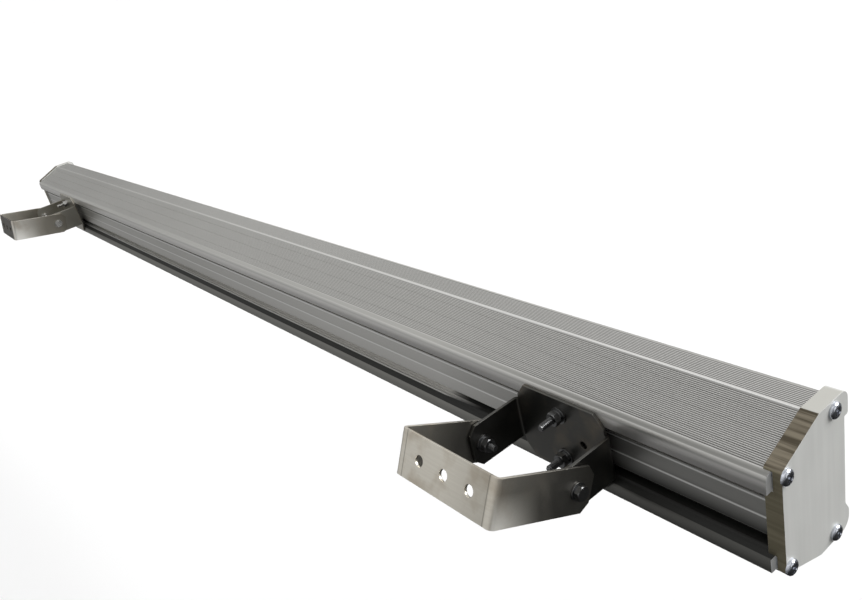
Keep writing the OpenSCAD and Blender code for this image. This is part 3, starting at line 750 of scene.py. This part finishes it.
def turned_bar(name, radius, low, high, sides=ROUND_SIDES, spin=0.0):
    nothing_selected()
    bpy.ops.mesh.primitive_cylinder_add(
        vertices=sides, radius=radius, depth=high - low,
        location=(0, 0, (low + high) / 2), rotation=(0, 0, spin),
    )
    bar = bpy.context.active_object
    bar.name = name
    bpy.ops.object.transform_apply(location=True, rotation=True, scale=True)
    return bar


def cut_with(piece, tool, operation):
    boolean = piece.modifiers.new("cut", "BOOLEAN")
    boolean.operation = operation
    boolean.solver = "EXACT"
    boolean.object = tool
    apply(piece, boolean)
    bpy.data.objects.remove(tool, do_unlink=True)


def hexagon(name, low, high):
    bar = turned_bar(name, CORNER, low, high, sides=6, spin=math.radians(30))
    disc = turned_bar("disc", CORNER, low, high, sides=DISC_SIDES)
    round_edges(disc, RIM_SLOPE, segments=1, angle=60)
    cut_with(bar, disc, "INTERSECT")
    return bar


def nut(low):
    high = low + NUT_HEIGHT
    made = hexagon("nut", low, high)
    drill = turned_bar("drill", NUT_BORE, low - DRILL_SPARE, high + DRILL_SPARE)
    cut_with(made, drill, "DIFFERENCE")
    return made


print("hexagon across its corners:", round(2000 * CORNER, 2), "mm")

# %% [markdown]
# A thread is one ridge that climbs round a core. Plain rings would look alike from afar,
# but they don't climb. So a triangle is placed on the core's side and the Screw modifier
# winds it up at 0.7 mm a turn; its two open ends are then filled.

# %% Threads and bolts
PITCH = 0.0007
RIDGE_SIZE = 0.52 * PITCH
CORE_RADIUS = 0.78 * BOLT_RADIUS
TIP_ROUNDING = 0.0003
STEPS_A_TURN = 16


def thread(low, high):
    nothing_selected()
    bpy.ops.mesh.primitive_circle_add(
        vertices=3, radius=RIDGE_SIZE,
        location=(BOLT_RADIUS - RIDGE_SIZE, 0, low + RIDGE_SIZE),
        rotation=(math.radians(90), math.radians(90), 0),
    )
    ridge = bpy.context.active_object
    bpy.ops.object.transform_apply(location=True, rotation=True, scale=True)
    winding = ridge.modifiers.new("winding", "SCREW")
    winding.axis = "Z"
    winding.screw_offset = PITCH
    winding.iterations = int((high - low - 2 * RIDGE_SIZE) / PITCH)
    winding.steps = STEPS_A_TURN
    winding.render_steps = STEPS_A_TURN
    apply(ridge, winding)
    bpy.ops.object.mode_set(mode="EDIT")
    bpy.ops.mesh.select_all(action="SELECT")
    bpy.ops.mesh.fill_holes(sides=3)
    bpy.ops.mesh.normals_make_consistent(inside=False)
    bpy.ops.object.mode_set(mode="OBJECT")
    return ridge


def joined(name, pieces):
    alone(pieces[0])
    for piece in pieces:
        piece.select_set(True)
    bpy.ops.object.join()
    whole = bpy.context.active_object
    whole.name = name
    whole.data.name = name
    return whole


def bolt(threaded, shank, head_low):
    core = turned_bar("core", CORE_RADIUS, *threaded)
    round_edges(core, TIP_ROUNDING, segments=2, angle=60)
    smooth = turned_bar("shank", BOLT_RADIUS, *shank)
    head = hexagon("head", head_low, head_low + HEAD_HEIGHT)
    return joined("bolt", [core, smooth, head, thread(*threaded)])


print("thread:", round(1000 * PITCH, 2), "mm a turn")

# %% [markdown]
# Each bracket has two bolts in the slots of the back and two on the tilt axis. Every bolt
# and nut is made once, upright at the origin, and its copies are turned to their places.

# %% One of each bolt and nut
slot_bolt = bolt(threaded=(0.0, 0.012), shank=(-0.0080, 0.0001), head_low=-0.01015)
slot_nut = nut(0.0018)
pivot_bolt = bolt(threaded=(-0.0097, -0.0014), shank=(-0.0015, 0.0028), head_low=0.0027)
pivot_nut = nut(-0.0063)
for template in (slot_bolt, slot_nut, pivot_bolt, pivot_nut):
    print(template.name, len(template.data.polygons), "faces")

# %% Bolts and nuts in their places
PLATE_BACK = 0.024
SLOT_HEIGHT = 0.0113
EAR_OUT = 0.0286


def turned_to(place, degrees, axis):
    return Matrix.Translation(place) @ Matrix.Rotation(math.radians(degrees), 4, axis)


def put_at(name, template, places):
    copies = []
    for place in places:
        alone(template)
        bpy.ops.object.duplicate()
        copy = bpy.context.active_object
        copy.matrix_world = place
        bpy.ops.object.transform_apply(location=True, rotation=True, scale=True)
        copies.append(copy)
    return joined(name, copies)


for side, x in bracket_x.items():
    at_slots = [turned_to((x, PLATE_BACK, way * SLOT_HEIGHT), 90, "X") for way in (1, -1)]
    at_ears = [turned_to((x + way * EAR_OUT, 0, 0), 90 * way, "Y") for way in (1, -1)]
    for kind, template, places in (
        ("slot_bolts", slot_bolt, at_slots),
        ("slot_nuts", slot_nut, at_slots),
        ("pivot_bolts", pivot_bolt, at_ears),
        ("pivot_nuts", pivot_nut, at_ears),
    ):
        node = side + "_" + kind
        stands_for(put_at(node + "_cut", template, places), node, bolt_finish[side])
for template in (slot_bolt, slot_nut, pivot_bolt, pivot_nut):
    bpy.data.objects.remove(template, do_unlink=True)

# %% [markdown]
# The room is a pale floor well below the light and a pale backdrop far away. Both show to
# the camera alone, so that they neither light the metal nor stand in its reflections.

# %% Floor and backdrop
FLOOR_SIZE = 60
FLOOR_DROP = 0.30
BACKDROP_RADIUS = 29
BACKDROP_HEIGHT = 30
BACKDROP_SUNK = 0.1
floor_z = cad_box[0][2] - FLOOR_DROP
nothing_selected()
bpy.ops.mesh.primitive_plane_add(size=FLOOR_SIZE, location=(0, 0, floor_z))
floor = bpy.context.active_object
floor.name = "floor"
floor.data.materials.append(plain("floor_paper", (0.93, 0.93, 0.93), 0.85, speckle=0.0))

nothing_selected()
bpy.ops.mesh.primitive_cylinder_add(
    vertices=64, radius=BACKDROP_RADIUS, depth=BACKDROP_HEIGHT,
    location=(0, 0, floor_z + BACKDROP_HEIGHT / 2 - BACKDROP_SUNK),
    end_fill_type="NOTHING",
)
backdrop = bpy.context.active_object
backdrop.name = "backdrop"
backdrop.data.materials.append(Sheet("backdrop_paper").finish(
    Base_Color=(0, 0, 0, 1), Emission_Color=(1, 1, 1, 1), Emission_Strength=1.0
))
for stage in (floor, backdrop):
    stage.visible_glossy = False
    stage.visible_diffuse = False
    stage.visible_transmission = False
backdrop.visible_shadow = False
print("floor at", round(floor_z, 4), "m")

# %% [markdown]
# One broad lamp stands behind the light to its right, and a faint one lights the near cap.
# Metal shows what it mirrors, so the sky matters most. It is bright above and to the left,
# fades to dark below and to the right, and is dimmer where the far end of the housing
# points. Softboxes could do the same, but bands of sky are easier to move.

# %% Lamps
def sun(name, direction, strength, spread):
    lamp = bpy.data.lights.new(name, "SUN")
    lamp.energy = strength
    lamp.angle = math.radians(spread)
    holder = bpy.data.objects.new(name, lamp)
    holder.rotation_euler = Vector(direction).to_track_quat("Z", "Y").to_euler()
    bpy.context.scene.collection.objects.link(holder)
    print(name, "of strength", strength)


sun("key_lamp", (0.52, 0.72, 0.46), 3.0, 50)
sun("end_card", (0.96, 0.28, 0.0), 0.14, 30)

# %% Sky
LEAN_LEFT = 0.20
SKY_TONES = [
    (0.00, 0.02), (0.14, 0.06), (0.22, 0.24), (0.31, 0.16), (0.44, 0.46), (0.56, 0.47),
    (0.73, 0.68), (0.79, 0.62), (0.88, 0.98), (0.97, 0.80), (1.00, 0.56),
]
FAR_END_TONES = [(0.00, 0.38), (0.06, 0.74), (0.14, 1.00)]
world = bpy.data.worlds.new("studio")
bpy.context.scene.world = world
world.use_nodes = True
sky = Tree(world.node_tree)
across = along_axis(sky, "X", of="Generated")
upward = along_axis(sky, "Z", of="Generated")
height = upward * 0.5 + 0.5 - across * LEAN_LEFT
tones = ramp(sky, height, [(place, grey(tone)) for place, tone in SKY_TONES])
far_end = ramp(sky, across * 0.5 + 0.5, [(place, grey(tone)) for place, tone in FAR_END_TONES])
background = world.node_tree.nodes["Background"]
sky.feed(background.inputs["Color"], tones)
sky.feed(background.inputs["Strength"], far_end)
bpy.context.scene.view_settings.view_transform = "Standard"
print("sky bands:", len(SKY_TONES))
